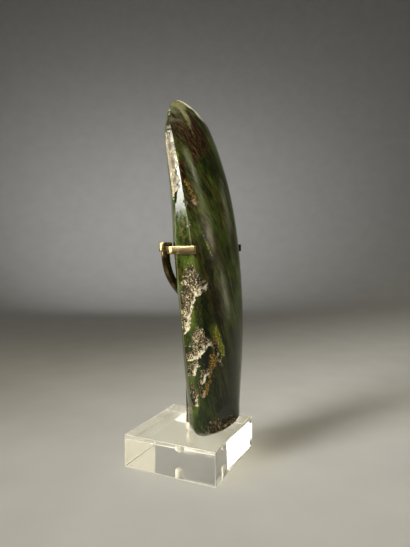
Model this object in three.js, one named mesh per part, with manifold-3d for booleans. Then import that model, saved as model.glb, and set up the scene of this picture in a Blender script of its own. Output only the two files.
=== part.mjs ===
// Jadeite axe head on its display stand.
// Millimetres, +Z up. The origin is at the middle of the underside of the acrylic block.
// The front of the axe faces -Y; its near narrow side faces -X and its far narrow side +X.

import * as THREE from 'three';
import { mergeVertices } from 'three/addons/utils/BufferGeometryUtils.js';
import Module from 'manifold-3d';

// ---------------------------------------------------------------- driving dimensions

const gap = 0.3; // air left between pieces that bear on each other

const block = { side: 76, height: 25, chamfer: 0.6 };

const rod = { diameter: 6.5, sides: 24, steps: 64 };
const foot = { x: 8, y: 5 }; // where the rod stands in the block
const hole = { diameter: rod.diameter + 2 * gap, depth: 17.2, pointAngle: 118 };

const collar = { x: -20.6, y: 10.5, bottom: 164.2, height: 7, diameter: 10, edge: 0.7, socket: 5 };

const band = { width: 5.8, thickness: 1.8, bevel: 0.25, level: 165.4, tilt: 2.06 };
const nearArm = { inside: -36.9, tipY: -23.9, bendRadius: 8, cornerY: -2, slope: 31 };
const farArm = { inside: 37.1, tipY: -28.3, backY: 10.2 };

const axe = { bottom: block.height + gap, top: 284.6, rows: 62, faceSteps: 20, fullness: 2.2 };
const bladeEdge = 0.15; // half thickness left at the ground edges

// The cutting edge is two quarter ellipses that meet at the crest.
const crest = { x: 9, nearStart: 251.5, farStart: 242 };
// The butt closes in a rounded end round its resting spot.
const butt = { x: -15.5, y: -17.5, start: 37, rest: 0.12, roundness: 0.8 };
// A flat break takes the lower front corner off the butt.
const scar = { normal: new THREE.Vector3(-0.38, -0.89, -0.24).normalize(), x: -18, y: -33.6, z: 44 };
const scarHeart = new THREE.Vector3(-2, -20, 60);

// Each profile gives one measure of the axe at a few heights: [height, measure].
const profiles = {
  nearSide: [[44, -29], [85, -33], [165, -36.6], [225, -34.6], [262, -29]],
  farSide: [[44, 29], [85, 33], [165, 36.8], [205, 37], [240, 36.5]],
  midNear: [[44, -21], [100, -19.7], [165, -14], [215, -8], [262, 3.6], [284.6, 9]],
  twist: [[44, 1.5], [110, 0], [165, 0], [215, -1.6], [262, -1.6], [284.6, 0]],
  frontBulge: [[44, 19], [100, 21.5], [165, 24], [215, 20], [245, 17.5], [265, 14], [275, 9.4]],
  backBulge: [[44, 19], [100, 21.5], [165, 22], [215, 21], [245, 18], [265, 13], [275, 9.4]],
  nearFacet: [[44, 4.5], [110, 8], [165, 6.5], [215, 3], [250, 2.3], [258, 1.5], [263, 0]],
  farFacet: [[44, 6], [110, 6.5], [165, 6], [215, 3], [238, 0]],
};

// ---------------------------------------------------------------- materials

const jade = new THREE.MeshStandardMaterial({ color: 0x2c4a1e, roughness: 0.28, metalness: 0 });
const acrylic = new THREE.MeshStandardMaterial({
  color: 0xe9ebe4, roughness: 0.05, metalness: 0, transparent: true, opacity: 0.4,
});
const brass = new THREE.MeshStandardMaterial({ color: 0x9a7b45, roughness: 0.35, metalness: 1 });

// ---------------------------------------------------------------- helpers

// A smooth curve through the points of a profile that never swings past them.
function profileCurve(points) {
  const last = points.length - 1;
  const slope = [];
  for (let i = 0; i < last; i += 1) {
    slope.push((points[i + 1][1] - points[i][1]) / (points[i + 1][0] - points[i][0]));
  }
  const tangent = [slope[0]];
  for (let i = 1; i < last; i += 1) {
    const sameWay = slope[i - 1] * slope[i] > 0;
    tangent.push(sameWay ? 2 * slope[i - 1] * slope[i] / (slope[i - 1] + slope[i]) : 0);
  }
  tangent.push(slope[last - 1]);
  return (z) => {
    const height = THREE.MathUtils.clamp(z, points[0][0], points[last][0]);
    let i = 0;
    while (i < last - 1 && height > points[i + 1][0]) i += 1;
    const span = points[i + 1][0] - points[i][0];
    const t = (height - points[i][0]) / span;
    const rise = t * t * (3 - 2 * t);
    return points[i][1] * (1 - rise) + points[i + 1][1] * rise
      + span * t * (1 - t) * (tangent[i] * (1 - t) - tangent[i + 1] * t);
  };
}

// A closed mesh from rings of equal length, with a flat fan on the first and the last ring.
function loft(rings) {
  const size = rings[0].length;
  const positions = rings.flat().flatMap((point) => point.toArray());
  const index = [];
  for (let row = 0; row < rings.length - 1; row += 1) {
    for (let i = 0; i < size; i += 1) {
      const next = (i + 1) % size;
      const low = row * size;
      const high = low + size;
      index.push(low + i, low + next, high + next, low + i, high + next, high + i);
    }
  }
  for (const [row, flip] of [[0, true], [rings.length - 1, false]]) {
    const centre = new THREE.Vector3();
    rings[row].forEach((point) => centre.addScaledVector(point, 1 / size));
    const hub = positions.length / 3;
    positions.push(...centre.toArray());
    for (let i = 0; i < size; i += 1) {
      const a = row * size + i;
      const b = row * size + (i + 1) % size;
      index.push(...(flip ? [hub, b, a] : [hub, a, b]));
    }
  }
  const geometry = new THREE.BufferGeometry();
  geometry.setAttribute('position', new THREE.Float32BufferAttribute(positions, 3));
  geometry.setIndex(index);
  geometry.computeVertexNormals();
  return geometry;
}

// A flat strip of even thickness along a plan curve, standing up by its width.
function stripGeometry(centreline) {
  const half = band.thickness / 2;
  const sides = [[], []];
  centreline.forEach((point, i) => {
    const before = centreline[Math.max(i - 1, 0)];
    const after = centreline[Math.min(i + 1, centreline.length - 1)];
    const along = after.clone().sub(before).normalize();
    const across = new THREE.Vector2(-along.y, along.x).multiplyScalar(half);
    sides[0].push(point.clone().add(across));
    sides[1].unshift(point.clone().sub(across));
  });
  const geometry = new THREE.ExtrudeGeometry(new THREE.Shape([...sides[0], ...sides[1]]), {
    depth: band.width - 2 * band.bevel,
    bevelThickness: band.bevel,
    bevelSize: band.bevel,
    bevelOffset: -band.bevel,
    bevelSegments: 1,
  });
  geometry.translate(0, 0, band.bevel - band.width / 2);
  return geometry;
}

// ---------------------------------------------------------------- jadeite axe head

const curves = Object.fromEntries(
  Object.entries(profiles).map(([name, points]) => [name, profileCurve(points)]),
);

// The measures of the axe's cross-section at height z, with the crest and the butt closed in.
function sectionAt(z) {
  const size = Object.fromEntries(Object.entries(curves).map(([name, curve]) => [name, curve(z)]));
  const midFar = size.midNear + size.twist;

  const quarter = (start) => {
    const t = THREE.MathUtils.clamp((z - start) / (axe.top - start), 0, 1);
    return Math.sqrt(1 - t * t);
  };
  const thin = Math.min((axe.top - z) / (axe.top - 275), 1) ** 0.8;
  const drop = THREE.MathUtils.clamp((butt.start - z) / (butt.start - axe.bottom), 0, 1);
  const round = butt.rest + (1 - butt.rest) * (1 - drop * drop) ** butt.roundness;

  const near = crest.x + (size.nearSide - crest.x) * quarter(crest.nearStart);
  const far = crest.x + (size.farSide - crest.x) * quarter(crest.farStart);
  return {
    near: butt.x + (near - butt.x) * round,
    far: butt.x + (far - butt.x) * round,
    midNear: butt.y + (size.midNear - butt.y) * round,
    midFar: butt.y + (midFar - butt.y) * round,
    front: size.frontBulge * thin * round,
    back: size.backBulge * thin * round,
    nearFacet: Math.max(size.nearFacet * round, bladeEdge),
    farFacet: Math.max(size.farFacet * round, bladeEdge),
  };
}

// A point of the face: across runs from -1 on the near side to 1 on the far side.
function facePoint(section, z, across, bulge, side) {
  const near = (1 - across) / 2;
  const far = (1 + across) / 2;
  const flat = section.nearFacet * near + section.farFacet * far;
  const swell = Math.max(bulge - flat, 0) * (1 - Math.abs(across) ** axe.fullness);
  const mid = section.midNear * near + section.midFar * far;
  return new THREE.Vector3(section.near * near + section.far * far, mid + side * (flat + swell), z);
}

// What lies beyond the break is drawn back to its plane, towards the heart of the stone.
function breakOff(point) {
  const seat = new THREE.Vector3(scar.x, scar.y, scar.z);
  const reach = scar.normal.dot(seat.clone().sub(scarHeart));
  const out = scar.normal.dot(point.clone().sub(scarHeart));
  if (out > reach) point.sub(scarHeart).multiplyScalar(reach / out).add(scarHeart);
  return point;
}

function axeGeometry() {
  const rings = [];
  for (let row = 0; row <= axe.rows; row += 1) {
    const t = row / axe.rows;
    const even = axe.bottom + (axe.top - axe.bottom) * t;
    const rounded = axe.bottom + (axe.top - axe.bottom) * (1 - Math.cos(Math.PI * t)) / 2;
    const z = Math.min(even * 0.35 + rounded * 0.65, axe.top - 0.03);
    const section = sectionAt(z);
    const front = [];
    const back = [];
    for (let i = 0; i <= axe.faceSteps; i += 1) {
      const across = Math.sin(Math.PI * (i / axe.faceSteps - 0.5));
      front.push(breakOff(facePoint(section, z, across, section.front, -1)));
      back.unshift(facePoint(section, z, across, section.back, 1));
    }
    rings.push([...front, ...back]);
  }
  return loft(rings);
}

// ---------------------------------------------------------------- acrylic block

const wasm = await Module();
wasm.setup();

function toSolid(geometry) {
  const bare = geometry.clone();
  bare.deleteAttribute('normal');
  bare.deleteAttribute('uv');
  const merged = mergeVertices(bare);
  return new wasm.Manifold(new wasm.Mesh({
    numProp: 3,
    vertProperties: new Float32Array(merged.attributes.position.array),
    triVerts: new Uint32Array(merged.index.array),
  }));
}

function fromSolid(solid) {
  const mesh = solid.getMesh();
  const geometry = new THREE.BufferGeometry();
  geometry.setAttribute('position', new THREE.Float32BufferAttribute(mesh.vertProperties, 3));
  geometry.setIndex(Array.from(mesh.triVerts));
  geometry.computeVertexNormals();
  return geometry;
}

function blockGeometry() {
  const half = block.side / 2;
  const outline = new THREE.Shape([
    new THREE.Vector2(-half, -half),
    new THREE.Vector2(half, -half),
    new THREE.Vector2(half, half),
    new THREE.Vector2(-half, half),
  ]);
  const slab = new THREE.ExtrudeGeometry(outline, {
    depth: block.height - 2 * block.chamfer,
    bevelThickness: block.chamfer,
    bevelSize: block.chamfer,
    bevelOffset: -block.chamfer,
    bevelSegments: 1,
  });
  slab.translate(0, 0, block.chamfer);

  const radius = hole.diameter / 2;
  const point = radius / Math.tan(THREE.MathUtils.degToRad(hole.pointAngle / 2));
  const floor = block.height - hole.depth;
  const drill = new THREE.LatheGeometry([
    new THREE.Vector2(0, floor - point),
    new THREE.Vector2(radius, floor),
    new THREE.Vector2(radius, block.height + 1),
    new THREE.Vector2(0, block.height + 1),
  ], 32);
  drill.rotateX(Math.PI / 2);
  drill.translate(foot.x, foot.y, 0);
  return fromSolid(toSolid(slab).subtract(toSolid(drill)));
}

// ---------------------------------------------------------------- brass rod and its collar

function rodGeometry() {
  const bottom = new THREE.Vector3(foot.x, foot.y, block.height - hole.depth + gap);
  const swanStart = new THREE.Vector3(foot.x + 0.6, foot.y + 1.8, 114);
  const top = new THREE.Vector3(collar.x, collar.y, collar.bottom + collar.socket - gap);
  const swanEnd = new THREE.Vector3(collar.x, collar.y, collar.bottom);
  const up = (point, rise) => point.clone().setZ(point.z + rise);
  const path = new THREE.CurvePath();
  path.add(new THREE.LineCurve3(bottom, up(bottom, hole.depth)));
  path.add(new THREE.CubicBezierCurve3(
    up(bottom, hole.depth), up(bottom, 50), up(swanStart, -30), swanStart,
  ));
  path.add(new THREE.CubicBezierCurve3(swanStart, up(swanStart, 20.5), up(swanEnd, -29), swanEnd));
  path.add(new THREE.LineCurve3(swanEnd, top));
  const points = path.getSpacedPoints(rod.steps);
  const smooth = new THREE.CatmullRomCurve3(points, false, 'centripetal');

  const section = new THREE.Shape();
  for (let i = 0; i < rod.sides; i += 1) {
    const angle = 2 * Math.PI * i / rod.sides;
    const corner = [Math.cos(angle) * rod.diameter / 2, Math.sin(angle) * rod.diameter / 2];
    if (i === 0) section.moveTo(...corner);
    else section.lineTo(...corner);
  }
  section.closePath();
  return new THREE.ExtrudeGeometry(section, { steps: rod.steps, extrudePath: smooth });
}

function collarGeometry() {
  const outer = collar.diameter / 2;
  const inner = rod.diameter / 2 + gap;
  const geometry = new THREE.LatheGeometry([
    new THREE.Vector2(0, collar.socket),
    new THREE.Vector2(inner, collar.socket),
    new THREE.Vector2(inner, 0),
    new THREE.Vector2(outer - collar.edge / 2, 0),
    new THREE.Vector2(outer, collar.edge / 2),
    new THREE.Vector2(outer, collar.height - collar.edge),
    new THREE.Vector2(outer - collar.edge * 0.3, collar.height - collar.edge * 0.3),
    new THREE.Vector2(outer - collar.edge, collar.height),
    new THREE.Vector2(0, collar.height),
  ], 40);
  geometry.rotateX(Math.PI / 2);
  return geometry;
}

// ---------------------------------------------------------------- clip arms

// Both arms are drawn in plan from the middle of the collar.
function planPoint(x, y) {
  return new THREE.Vector2(x - collar.x, y - collar.y);
}

// The near arm runs straight from the collar to the corner of the axe and along its side.
function nearArmGeometry() {
  const x = nearArm.inside - band.thickness / 2;
  const slope = THREE.MathUtils.degToRad(nearArm.slope);
  const turn = Math.PI / 2 - slope;
  const setback = nearArm.bendRadius * Math.tan(turn / 2);
  const away = new THREE.Vector2(Math.cos(slope), Math.sin(slope));
  const corner = planPoint(x, nearArm.cornerY);

  const offset = Math.abs(away.x * corner.y - away.y * corner.x);
  const clear = collar.diameter / 2 + gap + band.thickness / 4;
  const start = corner.clone().addScaledVector(
    away, -corner.dot(away) - Math.sqrt(clear * clear - offset * offset),
  );
  const bendCentre = planPoint(x + nearArm.bendRadius, nearArm.cornerY - setback);
  const line = [start];
  const bendSteps = 10;
  for (let i = 0; i <= bendSteps; i += 1) {
    const angle = Math.PI / 2 + slope + turn * i / bendSteps;
    line.push(bendCentre.clone().add(
      new THREE.Vector2(Math.cos(angle), Math.sin(angle)).multiplyScalar(nearArm.bendRadius),
    ));
  }
  line.push(planPoint(x, nearArm.tipY));
  return stripGeometry(line);
}

// The far arm goes round the back of the axe and along its far side.
function farArmGeometry() {
  const x = farArm.inside + band.thickness / 2;
  const start = new THREE.Vector2(collar.diameter / 2 + gap, farArm.backY - collar.y);
  const backEnd = planPoint(2, farArm.backY);
  const sideStart = planPoint(x, -8);
  const round = new THREE.CubicBezierCurve(
    backEnd, planPoint(19, farArm.backY), planPoint(x, 0.8), sideStart,
  );
  return stripGeometry([start, ...round.getPoints(24), planPoint(x, farArm.tipY)]);
}

// ---------------------------------------------------------------- assembly

function piece(name, geometry, material) {
  const mesh = new THREE.Mesh(geometry, material);
  mesh.name = name;
  return mesh;
}

const clip = new THREE.Group();
clip.position.set(collar.x, collar.y, band.level);
clip.rotation.y = -THREE.MathUtils.degToRad(band.tilt);
clip.add(
  piece('near_arm', nearArmGeometry(), brass),
  piece('far_arm', farArmGeometry(), brass),
);

const cap = piece('collar', collarGeometry(), brass);
cap.position.set(collar.x, collar.y, collar.bottom);

const display = new THREE.Group();
display.add(
  piece('axe_head', axeGeometry(), jade),
  piece('acrylic_block', blockGeometry(), acrylic),
  piece('stem_rod', rodGeometry(), brass),
  cap,
  clip,
);

export default display;
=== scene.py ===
"""Looks of a jadeite axe head on its display stand: a clear acrylic block with a brass rod and clip.

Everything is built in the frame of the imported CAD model. Shapes are worked out in millimetres, as they are
there, and become metres when a mesh is made. Lamps and the camera are placed in metres.
"""

import math

import bmesh
import bpy
import numpy as np
from mathutils import Matrix, Vector, noise


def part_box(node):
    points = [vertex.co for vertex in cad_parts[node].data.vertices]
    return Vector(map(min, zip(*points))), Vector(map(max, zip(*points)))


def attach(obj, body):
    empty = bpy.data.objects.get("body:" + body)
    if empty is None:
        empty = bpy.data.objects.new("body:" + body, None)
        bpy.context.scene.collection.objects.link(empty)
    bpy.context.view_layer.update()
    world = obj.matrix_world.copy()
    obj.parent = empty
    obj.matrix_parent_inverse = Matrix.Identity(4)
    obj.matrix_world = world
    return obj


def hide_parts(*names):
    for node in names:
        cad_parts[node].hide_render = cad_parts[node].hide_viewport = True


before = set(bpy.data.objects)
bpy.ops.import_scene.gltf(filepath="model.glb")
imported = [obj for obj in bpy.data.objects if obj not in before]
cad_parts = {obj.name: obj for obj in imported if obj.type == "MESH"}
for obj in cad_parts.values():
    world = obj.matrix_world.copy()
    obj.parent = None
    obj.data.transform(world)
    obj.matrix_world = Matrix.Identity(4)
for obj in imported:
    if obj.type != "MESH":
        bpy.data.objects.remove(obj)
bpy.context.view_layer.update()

MM = 0.001
SCENE = bpy.context.scene


# ---------------------------------------------------------------- places taken from the frame

def box_mm(node):
    low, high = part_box(node)
    return np.array(low) / MM, np.array(high) / MM


BLOCK_LOW, BLOCK_HIGH = box_mm("acrylic_block")
COLLAR_LOW, COLLAR_HIGH = box_mm("collar")
ROD_LOW, ROD_HIGH = box_mm("stem_rod")

COLLAR_X, COLLAR_Y = (COLLAR_LOW[:2] + COLLAR_HIGH[:2]) / 2
COLLAR_RADIUS = (COLLAR_HIGH[0] - COLLAR_LOW[0]) / 2
ROD_RADIUS = 3.25
# Where the rod stands in the block, and the air that is left where two things meet.
FOOT_X, FOOT_Y = 8.0, 5.0
GAP = 0.3


# ---------------------------------------------------------------- small helpers

def smooth(low, high, x):
    """0 below low, 1 above high and an even step between them. low may be the higher value."""
    t = np.clip((np.asarray(x, float) - low) / (high - low), 0, 1)
    return t * t * (3 - 2 * t)


def noise_at(points, size, shift=0.0):
    """Smooth noise, about -1 to 1, with blobs of the given size in mm. size may be one for each axis."""
    scaled = points / np.asarray(size, float) + shift
    return np.array([noise.noise(p) for p in scaled.tolist()])


def ridged_at(points, size, shift=0.0, octaves=3):
    """Noise with finer noise on it, for broken stone."""
    total = np.zeros(len(points))
    for octave in range(octaves):
        finer = np.asarray(size, float) / 2 ** octave
        total += noise_at(points, finer, shift + 7.3 * octave) / 2 ** octave
    return total


def new_object(name, vertices, faces, material):
    """A smooth-shaded mesh object from vertices in mm."""
    mesh = bpy.data.meshes.new(name)
    mesh.from_pydata((np.asarray(vertices) * MM).tolist(), [], [list(map(int, f)) for f in faces])
    mesh.polygons.foreach_set("use_smooth", [True] * len(mesh.polygons))
    mesh.materials.append(material)
    mesh.update()
    thing = bpy.data.objects.new(name, mesh)
    SCENE.collection.objects.link(thing)
    return thing


def add_piece(thing, slot, *nodes):
    """Hooks a finished piece on the one body and lets it stand for its CAD nodes."""
    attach(thing, "root")
    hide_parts(*nodes)
    return thing


def tube_faces(rows, columns):
    """Faces of a grid of closed rings, with a fan at each end. The fans' hubs are the last two points."""
    faces = []
    for row in range(rows - 1):
        for i in range(columns):
            j = (i + 1) % columns
            a, b = row * columns, (row + 1) * columns
            faces.append((a + i, a + j, b + j, b + i))
    start, end = rows * columns, rows * columns + 1
    last = (rows - 1) * columns
    for i in range(columns):
        j = (i + 1) % columns
        faces.append((start, j, i))
        faces.append((end, last + i, last + j))
    return faces


def circle_angles(sides):
    return np.linspace(0, 2 * np.pi, sides, endpoint=False)


# ---------------------------------------------------------------- material helpers

class Nodes:
    """Short ways to lay out the nodes of one material."""

    def __init__(self, name):
        self.material = bpy.data.materials.new(name)
        self.material.use_nodes = True
        self.tree = self.material.node_tree
        self.shader = self.tree.nodes["Principled BSDF"]

    def put(self, kind, **settings):
        node = self.tree.nodes.new("ShaderNode" + kind)
        for key, value in settings.items():
            setattr(node, key, value)
        return node

    def feed(self, socket, value):
        if isinstance(value, bpy.types.NodeSocket):
            self.tree.links.new(value, socket)
        elif value is not None:
            socket.default_value = value

    def place(self, turn=(0, 0, 0), scale=(1, 1, 1)):
        """Object coordinates in mm, turned by degrees and then stretched."""
        turned = self.put("Mapping")
        turned.inputs["Rotation"].default_value = [math.radians(a) for a in turn]
        self.feed(turned.inputs["Vector"], self.put("TexCoord").outputs["Object"])
        scaled = self.put("Mapping")
        scaled.inputs["Scale"].default_value = [s / MM for s in scale]
        self.feed(scaled.inputs["Vector"], turned.outputs["Vector"])
        return scaled.outputs["Vector"]

    def noise(self, vector, scale=1.0, detail=2.0, roughness=0.5, distortion=0.0):
        node = self.put("TexNoise")
        self.feed(node.inputs["Vector"], vector)
        settings = {"Scale": scale, "Detail": detail, "Roughness": roughness, "Distortion": distortion}
        for key, value in settings.items():
            node.inputs[key].default_value = value
        return node.outputs["Fac"]

    def cells(self, vector, scale=1.0):
        node = self.put("TexVoronoi", feature="F1")
        self.feed(node.inputs["Vector"], vector)
        node.inputs["Scale"].default_value = scale
        return node.outputs["Distance"]

    def mask(self, name):
        """A number that the mesh carries at each point."""
        return self.put("Attribute", attribute_name=name).outputs["Fac"]

    def math(self, operation, a, b):
        node = self.put("Math", operation=operation)
        self.feed(node.inputs[0], a)
        self.feed(node.inputs[1], b)
        return node.outputs[0]

    def weigh(self, *parts):
        """The sum of values, each times its weight: (value, weight)."""
        total = None
        for value, weight in parts:
            scaled = self.math("MULTIPLY", value, weight)
            total = scaled if total is None else self.math("ADD", total, scaled)
        return total

    def span(self, value, low, high, to_low=0.0, to_high=1.0):
        """value from low..high to to_low..to_high, held at both ends."""
        node = self.put("MapRange", interpolation_type="SMOOTHSTEP")
        settings = {"Value": value, "From Min": low, "From Max": high, "To Min": to_low, "To Max": to_high}
        for key, setting in settings.items():
            self.feed(node.inputs[key], setting)
        return node.outputs["Result"]

    def ramp(self, value, *stops):
        """Colour stops: (place, (r, g, b))."""
        node = self.put("ValToRGB")
        elements = node.color_ramp.elements
        while len(elements) < len(stops):
            elements.new(1.0)
        for element, (place, colour) in zip(elements, stops):
            element.position = place
            element.color = (*colour, 1)
        self.feed(node.inputs["Fac"], value)
        return node.outputs["Color"]

    def mix(self, factor, a, b, blend="MIX"):
        node = self.put("Mix", data_type="RGBA", blend_type=blend)
        colour = [s for s in node.inputs if s.type == "RGBA"]
        self.feed(node.inputs["Factor"], factor)
        for socket, value in zip(colour, (a, b)):
            self.feed(socket, (*value, 1) if isinstance(value, tuple) else value)
        return next(s for s in node.outputs if s.type == "RGBA")

    def bump(self, height, distance, strength=1.0, normal=None):
        """Relief of the given depth in mm, on top of another relief if one is given."""
        node = self.put("Bump")
        node.inputs["Strength"].default_value = strength
        node.inputs["Distance"].default_value = distance * MM
        self.feed(node.inputs["Height"], height)
        self.feed(node.inputs["Normal"], normal)
        return node.outputs["Normal"]

    def finish(self, **sockets):
        """Sets or links the shader's sockets by name, with _ for a space."""
        for key, value in sockets.items():
            self.feed(self.shader.inputs[key.replace("_", " ")], value)
        return self.material


# ---------------------------------------------------------------- materials

JADE_IOR, ACRYLIC_IOR = 1.44, 1.49
RIND_ROUGHNESS = 0.85


def jade_green(n, plain, fibre, fine, hair, speck):
    """The stone's colour: green fibres, brown veins and light specks, darkened by painted shade towards the
    butt and along strokes.
    """
    broad = n.noise(fibre, scale=0.14, detail=3, distortion=0.5)
    cloud = n.noise(plain, scale=0.05, detail=3)
    green = n.ramp(
        n.weigh((broad, 0.4), (fine, 0.32), (cloud, 0.28)),
        (0.38, (0.004, 0.007, 0.001)),
        (0.46, (0.016, 0.026, 0.003)),
        (0.53, (0.050, 0.077, 0.011)),
        (0.60, (0.100, 0.136, 0.020)),
        (0.70, (0.150, 0.140, 0.040)),
    )
    brown = n.ramp(
        fine,
        (0.35, (0.008, 0.005, 0.002)),
        (0.50, (0.035, 0.022, 0.007)),
        (0.70, (0.100, 0.066, 0.022)),
    )
    warm = n.math("ADD", n.noise(fibre, scale=0.1, detail=3), n.math("MULTIPLY", n.mask("brown"), 0.22))
    green = n.mix(n.span(warm, 0.5, 0.7, 0.0, 0.85), green, brown)
    # Painted shade: darker towards the butt and along the shade strokes.
    green = n.mix(n.mask("painted_shade"), green, n.mix(0.85, green, (0.003, 0.006, 0.001)))
    green = n.mix(n.span(hair, 0.58, 0.74, 0.0, 0.35), green, (0.16, 0.15, 0.05))
    return n.mix(n.span(speck, 0.62, 0.75, 0.0, 0.3), green, (0.12, 0.09, 0.03))


def with_stain_and_sheen(n, colour, fine, speck):
    """Stain colours over the green, each with a ragged border. The pale colour also carries a painted rim
    light and a painted sheen.
    """
    stains_and_sheen = {
        "umber": n.ramp(
            fine,
            (0.38, (0.007, 0.004, 0.001)),
            (0.52, (0.042, 0.021, 0.008)),
            (0.68, (0.120, 0.075, 0.030)),
        ),
        "pale": n.ramp(
            fine,
            (0.35, (0.140, 0.135, 0.045)),
            (0.65, (0.360, 0.340, 0.150)),
        ),
        "ochre": n.ramp(
            speck,
            (0.38, (0.030, 0.017, 0.003)),
            (0.50, (0.160, 0.088, 0.012)),
            (0.64, (0.500, 0.330, 0.070)),
        ),
        "lime": n.ramp(
            speck,
            (0.38, (0.050, 0.060, 0.006)),
            (0.50, (0.200, 0.220, 0.020)),
            (0.64, (0.460, 0.480, 0.080)),
        ),
    }
    streaky = n.math("SUBTRACT", n.weigh((speck, 0.5), (fine, 0.6)), 0.55)
    for name, shade in stains_and_sheen.items():
        ragged = n.math("ADD", n.mask(name), n.math("MULTIPLY", streaky, 2.4))
        cover = n.math("MULTIPLY", n.span(ragged, 0.25, 0.95), n.span(n.mask(name), 0.0, 0.25))
        colour = n.mix(cover, colour, shade)
    return colour


def grainy_rind(n, plain):
    """The cream rind of the broken places: its colour, its grains, and how far it covers the stone."""
    strands = n.place(turn=(0, -38, 0), scale=(1, 0.8, 0.38))
    pits = n.cells(strands, scale=1.0)
    grit = n.noise(strands, scale=1.5, detail=4, roughness=0.75)
    patchy = n.noise(plain, scale=0.22, detail=2)
    grains = n.weigh((grit, 0.75), (pits, 0.16), (patchy, 0.3))
    rind = n.ramp(
        grains,
        (0.57, (0.009, 0.006, 0.001)),
        (0.62, (0.050, 0.038, 0.014)),
        (0.67, (0.260, 0.200, 0.105)),
        (0.75, (0.760, 0.670, 0.450)),
    )
    # Painted highlight on the lower right border of each patch, and painted reflection that turns the rind
    # pale above 195 mm.
    rind = n.mix(n.math("MULTIPLY", n.mask("rind_highlight"), 0.7), rind, n.mix(0.6, rind, (0.95, 0.88, 0.68)))
    rind = n.mix(n.mask("tan"), rind, n.mix(0.9, rind, (0.5, 0.36, 0.21), "MULTIPLY"))
    ragged = n.math("ADD", n.mask("rind"), n.math("MULTIPLY", n.math("SUBTRACT", grit, 0.5), 2.2))
    cover = n.math("MULTIPLY", n.span(ragged, 0.38, 0.55), n.span(n.mask("rind"), 0.05, 0.3))
    return rind, grains, cover


def jade_material():
    """Dark green jadeite with fibres along its length, stain colours, and a grainy rind where it is chipped,
    with painted shade, rim light, sheen, highlights and reflection.
    """
    n = Nodes("jade_worn_and_painted_light")
    plain = n.place()
    fibre = n.place(turn=(0, 17, 0), scale=(1, 0.5, 0.05))
    fine = n.noise(fibre, scale=0.75, detail=4, roughness=0.65)
    hair = n.noise(fibre, scale=2.4, detail=2)
    speck = n.noise(plain, scale=1.1, detail=3, roughness=0.7)
    stone = with_stain_and_sheen(n, jade_green(n, plain, fibre, fine, hair, speck), fine, speck)
    rind, grains, cover = grainy_rind(n, plain)
    colour = n.mix(cover, stone, rind)

    polish = n.math("ADD", n.span(fine, 0.35, 0.65, 0.06, 0.14), n.math("MULTIPLY", n.mask("dull"), 0.15))
    rough = n.put("MapRange")
    n.feed(rough.inputs["Value"], cover)
    n.feed(rough.inputs["To Min"], polish)
    n.feed(rough.inputs["To Max"], RIND_ROUGHNESS)
    fibres = n.math("ADD", fine, n.math("MULTIPLY", hair, 0.3))
    fibres = n.math("MULTIPLY", fibres, n.span(n.mask("dull"), 0.0, 1.0, 0.25, 1.0))
    relief = n.bump(fibres, 0.13, 0.6)
    relief = n.bump(n.math("MULTIPLY", grains, cover), 0.9, 1.0, relief)
    return n.finish(Base_Color=colour, Roughness=rough.outputs["Result"], Normal=relief, IOR=JADE_IOR)


def let_lamps_through(n, colour):
    """Rays from the lamps pass the clear block unbent, so that what is under and in it is lit."""
    path = n.put("LightPath")
    open_way = n.put("BsdfTransparent")
    open_way.inputs["Color"].default_value = (*colour, 1)
    either = n.put("MixShader")
    n.feed(either.inputs[0], path.outputs["Is Shadow Ray"])
    n.feed(either.inputs[1], n.shader.outputs["BSDF"])
    n.feed(either.inputs[2], open_way.outputs["BSDF"])
    n.feed(n.tree.nodes["Material Output"].inputs["Surface"], either.outputs[0])


def acrylic_material():
    """Clear acrylic, a little milky, with faint wipe marks and upright streaks."""
    n = Nodes("acrylic_clear")
    wipe = n.noise(n.place(turn=(0, 0, 35), scale=(0.05, 0.3, 0.3)), scale=1.0, detail=3)
    streak = n.noise(n.place(scale=(0.9, 0.9, 0.03)), scale=1.0, detail=3)
    let_lamps_through(n, (0.9, 0.9, 0.86))
    return n.finish(
        Base_Color=(0.985, 0.975, 0.92, 1),
        Transmission_Weight=0.95,
        IOR=ACRYLIC_IOR,
        Roughness=n.span(wipe, 0.45, 0.75, 0.015, 0.09),
        Normal=n.bump(streak, 0.03, 0.2),
    )


def frosted_material():
    """The drilled wall of the hole, and the sanded edges."""
    n = Nodes("acrylic_frosted")
    ring = n.noise(n.place(scale=(0.1, 0.1, 2.0)), scale=1.0, detail=2)
    let_lamps_through(n, (0.8, 0.8, 0.76))
    return n.finish(
        Base_Color=(0.88, 0.87, 0.8, 1),
        Transmission_Weight=0.6,
        IOR=ACRYLIC_IOR,
        Roughness=n.span(ring, 0.3, 0.7, 0.45, 0.7),
        Normal=n.bump(ring, 0.1),
    )


def brass_material(name, stretch, darkening):
    """Brass with draw marks along the piece and dark brown patches. darkening runs from -1, bright, to 1,
    mostly brown; on the rod it is painted shade.
    """
    n = Nodes(name)
    marks = n.noise(n.place(scale=stretch), scale=1.0, detail=3, roughness=0.55)
    patch = n.noise(n.place(), scale=0.18, detail=4, roughness=0.6)
    bright = n.ramp(
        marks,
        (0.30, (0.31, 0.22, 0.10)),
        (0.55, (0.37, 0.28, 0.14)),
        (0.75, (0.43, 0.34, 0.18)),
    )
    shift = 0.25 * darkening
    colour = n.mix(n.span(patch, 0.5 - shift, 0.8 - shift, 0.0, 0.9), bright, (0.035, 0.021, 0.008))
    rough = n.math("ADD", n.span(marks, 0.3, 0.7, 0.2, 0.26), n.span(patch, 0.5, 0.75, 0.0, 0.1))
    return n.finish(Base_Color=colour, Metallic=1.0, Roughness=rough, Normal=n.bump(marks, 0.004, 0.3))


# ---------------------------------------------------------------- jadeite axe head

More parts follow.
